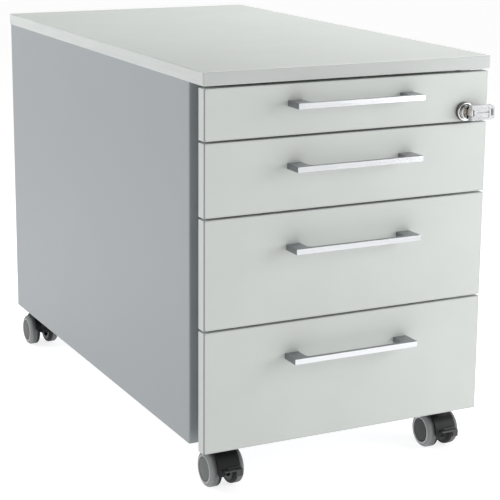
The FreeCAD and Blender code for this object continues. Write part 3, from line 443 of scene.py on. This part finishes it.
def plastic(name, base, roughness, **sockets):
    """Moulded plastic with the fine eroded grain of its mould."""
    s = Shade(name, roughness, **sockets)
    texture = s.noise(1100.0, 3.0)
    s.paint(s.blend(s.span(s.noise(60.0, 2.0), 0.3, 0.7), lighter(base, 0.92), lighter(base, 1.08)))
    s.paint(s.span(texture, 0.3, 0.7, roughness - 0.06, roughness + 0.08), "Roughness")
    s.bump(texture, 0.00005, 0.5)
    return s.material


def dress(node, material):
    """Gives a CAD node its finish through its own material slots."""
    for slot in NODES[node].material_slots:
        slot.material = material


def dress_all():
    """Dresses every CAD node, and returns the plated steel and black nylon that the added pieces share."""
    silver = powder_coat("silver_coat", SILVER)
    tray = powder_coat("tray_coat", TRAY, 0.38)
    plated = zinc("zinc_plate")
    housing = plastic("housing_nylon", BLACK, 0.46, Specular_IOR_Level=0.3)
    by_node = {
        "top_board": laminate("top_laminate", TOP),
        "top_edge_bands": edge_band("top_band"),
        "lock_cylinder": lock_metal("lock_nickel"),
        "lock_plug": plug_metal("plug_nickel"),
        "key_blade": blade_metal("key_nickel"),
        "key_head": plastic("key_plastic", KEY, 0.24, Transmission_Weight=0.3, IOR=1.49, Coat_Weight=0.4),
    }
    by_node.update(dict.fromkeys(COATED, silver))
    by_node.update(dict.fromkeys(PLATED, plated))
    metal = handle_metal("handle_metal")
    for n in DRAWERS:
        by_node[f"drawer_{n}_front"] = drawer_front(f"front_{n}_laminate", f"drawer_{n}_front")
        by_node[f"drawer_{n}_handle"] = metal
        by_node[f"drawer_{n}_tray"] = tray
        by_node[f"drawer_{n}_inner_rails"] = plated
        by_node[f"drawer_{n}_middle_rails"] = plated
    for corner in CORNERS:
        by_node[f"caster_{corner}_housing"] = housing
        for side in SIDES:
            wheel = f"wheel_{corner}_{side}"
            low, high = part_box(f"{wheel}_tyre")
            outer_x = low.x if side == "left" else high.x
            by_node[f"{wheel}_tyre"] = tyre_rubber(f"{wheel}_rubber", f"{wheel}_tyre", outer_x)
            by_node[f"{wheel}_hub"] = hub_plastic(f"{wheel}_plastic", outer_x, CAP_GREY_AND_SHADE[corner])
    lever = plastic("lever_nylon", LEVER, 0.30)
    for corner in CORNERS[:2]:
        by_node[f"brake_lever_{corner}"] = lever
    for node in NODES:
        dress(node, by_node[node])
    return plated, lever


def lathe(mesh, foot, axis, profile):
    """Adds a turned shape: profile lists (distance along the axis, radius) from its foot to its tip."""
    turn = Vector((0, 0, 1)).rotation_difference(Vector(axis)).to_matrix()
    rings = []
    for along, radius in profile:
        ring = []
        for step in range(HEAD_STEPS):
            angle = 2 * math.pi * step / HEAD_STEPS
            point = Vector((radius * math.cos(angle), radius * math.sin(angle), along))
            ring.append(mesh.verts.new(Vector(foot) + turn @ point))
        rings.append(ring)
    for low, high in zip(rings, rings[1:]):
        for step in range(HEAD_STEPS):
            after = (step + 1) % HEAD_STEPS
            mesh.faces.new((low[step], low[after], high[after], high[step]))
    mesh.faces.new(list(reversed(rings[0])))
    mesh.faces.new(rings[-1])


def slab(mesh, outline, lift):
    """Adds a prism: outline lists the corners of one face, lift is the way to the other."""
    lift = Vector(lift)
    near = [mesh.verts.new(Vector(corner)) for corner in outline]
    far = [mesh.verts.new(Vector(corner) + lift) for corner in outline]
    mesh.faces.new(near)
    mesh.faces.new(list(reversed(far)))
    count = len(outline)
    for index in range(count):
        after = (index + 1) % count
        mesh.faces.new((near[after], near[index], far[index], far[after]))


def piece(name, mesh, material, body, bevel=0.0):
    """Turns a mesh under construction into a piece that rides on a body."""
    bmesh.ops.recalc_face_normals(mesh, faces=mesh.faces)
    if bevel:
        edges = mesh.edges[:]
        bmesh.ops.bevel(mesh, geom=edges, offset=bevel, segments=2, affect="EDGES", clamp_overlap=True)
    data = bpy.data.meshes.new(name)
    mesh.to_mesh(data)
    mesh.free()
    data.materials.append(material)
    data.shade_smooth()
    made = bpy.data.objects.new(name, data)
    bpy.context.scene.collection.objects.link(made)
    if bevel:
        made.modifiers.new("even_shading", "WEIGHTED_NORMAL").keep_sharp = True
    data.set_sharp_from_angle(angle=math.radians(35))
    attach(made, body)


def rail_places(number):
    """Boxes of all the outer rails, and of a drawer's middle and inner rails."""
    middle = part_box(f"drawer_{number}_middle_rails")
    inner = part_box(f"drawer_{number}_inner_rails")
    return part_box("outer_rails"), middle, inner


def mid_height(box):
    """The height of a box's middle."""
    return (box[0].z + box[1].z) / 2


def half_height(box):
    """Half of a box's height."""
    return (box[1].z - box[0].z) / 2


def outer_half():
    """Half the height of an outer rail: all are alike, and the top drawer's reaches highest in their node."""
    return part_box("outer_rails")[1].z - mid_height(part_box("drawer_1_middle_rails"))


def cage(mesh, side, z, y, half, web, tip):
    """Adds one folded ball cage: half is its lips' height from the middle, web and tip its X."""
    inner = half - CAGE_SHEET
    corners = [(tip, half), (web, half), (web, -half), (tip, -half),
               (tip, -inner), (web - CAGE_SHEET, -inner), (web - CAGE_SHEET, inner), (tip, inner)]
    slab(mesh, [(side * x, y, z + up) for x, up in corners], (0, CAGE_LENGTH, 0))


def balls(mesh, side, z, y, half, x, radius):
    """Adds both rows of balls of one cage."""
    count = int((CAGE_LENGTH - BALL_PITCH) / BALL_PITCH)
    for index in range(count + 1):
        for up in (-half, half):
            place = Vector((side * x, y + (index + 0.5) * BALL_PITCH, z + up))
            bmesh.ops.create_uvsphere(mesh, u_segments=12, v_segments=8, radius=radius,
                                      matrix=Matrix.Translation(place))


def ball_runs(number, plated):
    """Cages and balls; each cage keeps to the stretch where both its rails are at full reach."""
    outer, middle, inner = rail_places(number)
    z = mid_height(middle)
    halfway = (middle[0].y + middle[1].y) / 2
    outer_web = (outer[1].x - RAIL_SHEET + middle[1].x) / 2 + CAGE_SHEET / 2
    inner_web = (middle[1].x - RAIL_SHEET + inner[1].x) / 2 + CAGE_SHEET / 2
    runs = (
        (halfway, outer_half(), half_height(middle), outer_web, OUTER_CAGE_DEPTH, OUTER_BALL_DEPTH),
        (middle[0].y, half_height(middle), half_height(inner), inner_web, INNER_CAGE_DEPTH, INNER_BALL_DEPTH),
    )
    cages, steel = bmesh.new(), bmesh.new()
    for side in (-1, 1):
        for start, around, within, web, cage_depth, ball_depth in runs:
            y = start + CAGE_INSET
            gap = (around - RAIL_SHEET + within) / 2
            radius = (around - RAIL_SHEET - within) / 2 - BALL_CLEAR
            cage(cages, side, z, y, gap + CAGE_SHEET / 2, web, web - cage_depth)
            balls(steel, side, z, y, gap, web - ball_depth, radius)
    piece(f"ball_cages_{number}", cages, plated, f"middle_rails_{number}")
    piece(f"steel_balls_{number}", steel, plated, f"middle_rails_{number}")


def stops(mesh, side, z, y, low, high, x0, x1):
    """Adds the two plastic stops, above and below, in the mouth of the gap between two rails."""
    for up in (-1, 1):
        corners = [(x0, low), (x1, low), (x1, high), (x0, high)]
        slab(mesh, [(side * x, y, z + up * rise) for x, rise in corners], (0, STOP_LENGTH, 0))


def rail_stops(black):
    """Black plastic stops at the front ends of the outer and middle rails."""
    fixed = bmesh.new()
    for number in DRAWERS:
        outer, middle, inner = rail_places(number)
        z = mid_height(middle)
        middle_half = half_height(middle)
        sliding = bmesh.new()
        for side in (-1, 1):
            stops(fixed, side, z, outer[0].y, middle_half + STOP_CLEAR, outer_half() - RAIL_SHEET,
                  middle[1].x - OUTER_STOP_DEPTH, outer[1].x - 2 * RAIL_SHEET)
            stops(sliding, side, z, middle[0].y, half_height(inner) + STOP_CLEAR, middle_half - RAIL_SHEET,
                  inner[1].x - INNER_STOP_DEPTH, middle[1].x - 1.5 * RAIL_SHEET)
        name = f"middle_rail_stops_{number}"
        piece(name, sliding, black, f"middle_rails_{number}", STOP_BEVEL)
    piece("outer_rail_stops", fixed, black, "root", STOP_BEVEL)


def rail_fittings(number, plated, black):
    """Rivets that hold the inner rails to the tray, and the black levers that release the drawer."""
    z = mid_height(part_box(f"drawer_{number}_middle_rails"))
    tray_half = -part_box(f"drawer_{number}_tray")[0].x
    web = tray_half + RAIL_SHEET
    rivets, levers = bmesh.new(), bmesh.new()
    for side in (-1, 1):
        for y in RIVETS_Y:
            lathe(rivets, (side * web, y, z), (side, 0, 0), HEAD_OUTSIDE)
            lathe(rivets, (side * (tray_half - TRAY_SHEET), y, z), (-side, 0, 0), HEAD_INSIDE)
        lathe(rivets, (side * (web + LEVER_THICK), LEVER_Y - LEVER_PIVOT, z), (side, 0, 0), HEAD_OUTSIDE)
        corners = [(side * web, LEVER_Y + y, z + up) for y, up in LEVER_OUTLINE]
        slab(levers, corners, (side * LEVER_THICK, 0, 0))
    piece(f"rail_rivets_{number}", rivets, plated, f"drawer_{number}")
    piece(f"release_levers_{number}", levers, black, f"drawer_{number}", LEVER_BEVEL)


def stage():
    """Pale floor that runs out of sight, a bright room round it and soft boxes."""
    bpy.ops.mesh.primitive_plane_add(size=FLOOR_SIZE, location=(0, 0, CAD_BOX[0].z))
    floor = bpy.context.active_object
    floor.name = "floor"
    s = Shade("floor_paint", 0.8, Emission_Color=(1, 1, 1, 1), Emission_Strength=FLOOR_GLOW)
    s.paint(s.blend(s.noise(3.0, 2.0), FLOOR, lighter(FLOOR, 0.985)))
    floor.data.materials.append(s.material)
    studio_walls()
    for name, (place, size, power) in LIGHTS.items():
        soft_box(name, place, size, power)


def studio_walls():
    """White walls that end in a dimmer ceiling."""
    world = bpy.data.worlds.new("studio")
    world.use_nodes = True
    nodes, links = world.node_tree.nodes, world.node_tree.links
    split = nodes.new("ShaderNodeSeparateXYZ")
    height = nodes.new("ShaderNodeMapRange")
    height.interpolation_type = "SMOOTHSTEP"
    for socket, value in WALLS.items():
        height.inputs[socket].default_value = value
    links.new(nodes.new("ShaderNodeTexCoord").outputs["Generated"], split.inputs[0])
    links.new(split.outputs["Z"], height.inputs["Value"])
    links.new(height.outputs["Result"], nodes["Background"].inputs["Strength"])
    nodes["Background"].inputs["Color"].default_value = (1, 1, 1, 1)
    bpy.context.scene.world = world


def soft_box(name, place, size, power):
    """Square area light that faces the object and doesn't show in the picture."""
    light = bpy.data.lights.new(name, "AREA")
    light.size = size
    light.energy = power
    box = bpy.data.objects.new(name, light)
    box.visible_camera = False
    box.location = place
    aim = Vector(LIGHTS_AIM) - Vector(place)
    box.rotation_mode = "QUATERNION"
    box.rotation_quaternion = aim.to_track_quat("-Z", "Y")
    bpy.context.scene.collection.objects.link(box)


def camera():
    """The photograph's view of the object, with a little vertical shift to frame it."""
    yaw, pitch, roll = (math.radians(a) for a in (CAMERA_YAW, CAMERA_PITCH, CAMERA_ROLL))
    forward = Vector((math.sin(yaw) * math.cos(pitch), math.cos(yaw) * math.cos(pitch), -math.sin(pitch)))
    right = Vector((math.cos(yaw), -math.sin(yaw), 0))
    down = forward.cross(right)
    rolled = math.cos(roll) * right + math.sin(roll) * down
    down = math.cos(roll) * down - math.sin(roll) * right
    data = bpy.data.cameras.new("camera")
    data.lens = CAMERA_LENS
    data.shift_y = CAMERA_SHIFT
    data.clip_end = 200.0
    eye = bpy.data.objects.new("camera", data)
    eye.matrix_world = Matrix.Translation(CAMERA_AT) @ Matrix((rolled, -down, -forward)).transposed().to_4x4()
    bpy.context.scene.collection.objects.link(eye)
    bpy.context.scene.camera = eye


camera()
stage()
STEEL, NYLON = dress_all()
for drawer in DRAWERS:
    ball_runs(drawer, STEEL)
    rail_fittings(drawer, STEEL, NYLON)
rail_stops(NYLON)
bpy.context.scene.view_settings.view_transform = "Standard"
